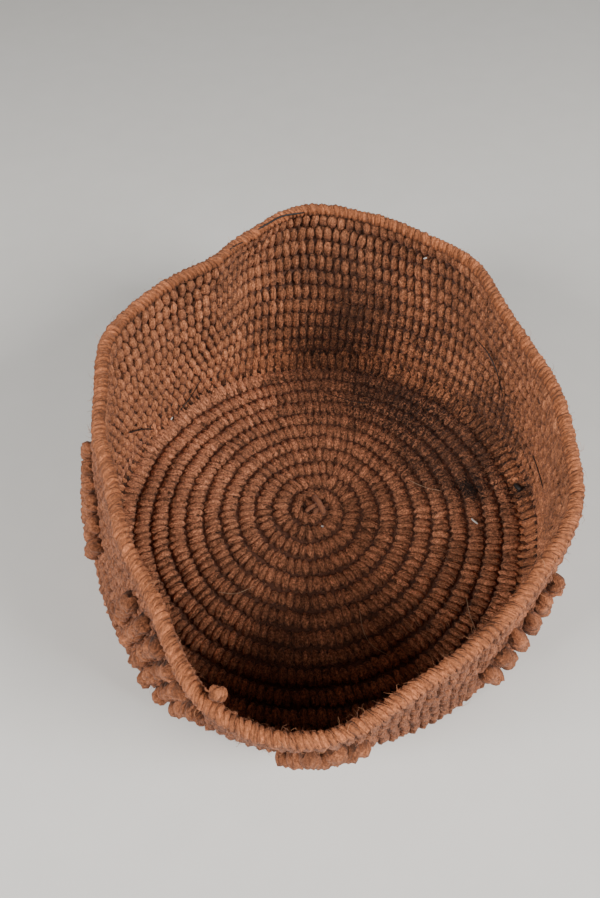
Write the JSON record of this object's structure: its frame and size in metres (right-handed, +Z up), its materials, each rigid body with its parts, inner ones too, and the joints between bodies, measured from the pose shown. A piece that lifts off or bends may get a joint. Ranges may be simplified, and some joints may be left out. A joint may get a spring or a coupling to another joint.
{
  "type": "woven fibre headdress",
  "caption": "Round looped-fibre cap with a spiral crown, an upright side wall with raised knobs in groups and a smooth edge course, lying on its crown with its mouth up.",
  "frame": {"origin": "on the surface that the cap lies on, under the middle of its outline", "axes": "+Z up from the crown to the open mouth; +Y along the mouth's longer way, from the picture's front edge to its back edge; +X to the picture's right"},
  "size_m": [0.1814, 0.208, 0.0889],
  "materials": {
    "crown_yarn": "matt looped plant fibre, worn and sooty",
    "wall_yarn": "matt looped plant fibre",
    "edge_yarn": "smoother plant fibre, rubbed by wear",
    "knot_yarn": "matt twisted plant fibre"
  },
  "bodies": {
    "root": {"crown": "crown_yarn", "side_wall": "wall_yarn", "rim_edge": "edge_yarn", "start_knot": "knot_yarn", "yarn_end_knot": "knot_yarn"}
  },
  "joints": []
}
